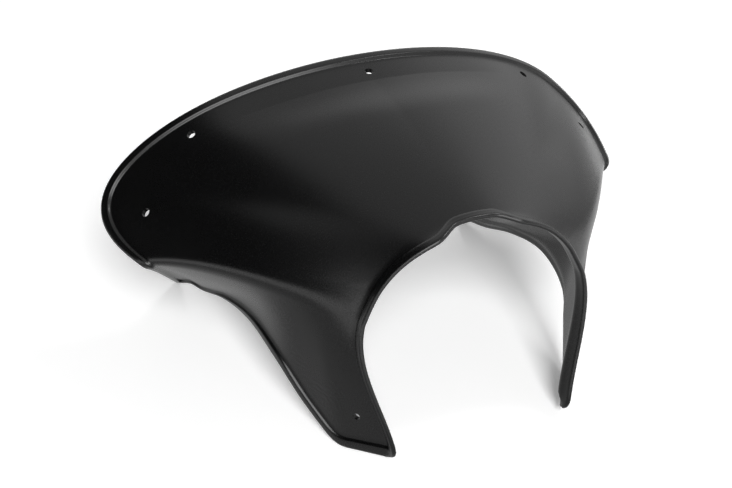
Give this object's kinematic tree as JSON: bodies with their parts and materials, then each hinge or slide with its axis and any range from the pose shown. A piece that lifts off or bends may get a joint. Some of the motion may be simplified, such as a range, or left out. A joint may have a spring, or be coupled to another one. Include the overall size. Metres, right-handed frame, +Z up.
{
  "type": "motorcycle headlight cowl",
  "caption": "Open moulded cowl that arches over a round headlight, with slim legs, flared wings and pointed tails, and a holed rim that carries a windscreen.",
  "frame": {"origin": "centre of the bounding box across and front to back, on the surface that the toes and tails stand on", "axes": "+Z up; -Y is the front, the way the headlight looks; +X is the left hand side of a rider sitting behind it, and X = 0 is the plane of symmetry"},
  "size_m": [0.479, 0.3412, 0.2463],
  "materials": {
    "shell": "satin moulded black plastic with a fine grain"
  },
  "bodies": {
    "root": {"cowl_shell": "shell"}
  },
  "joints": []
}
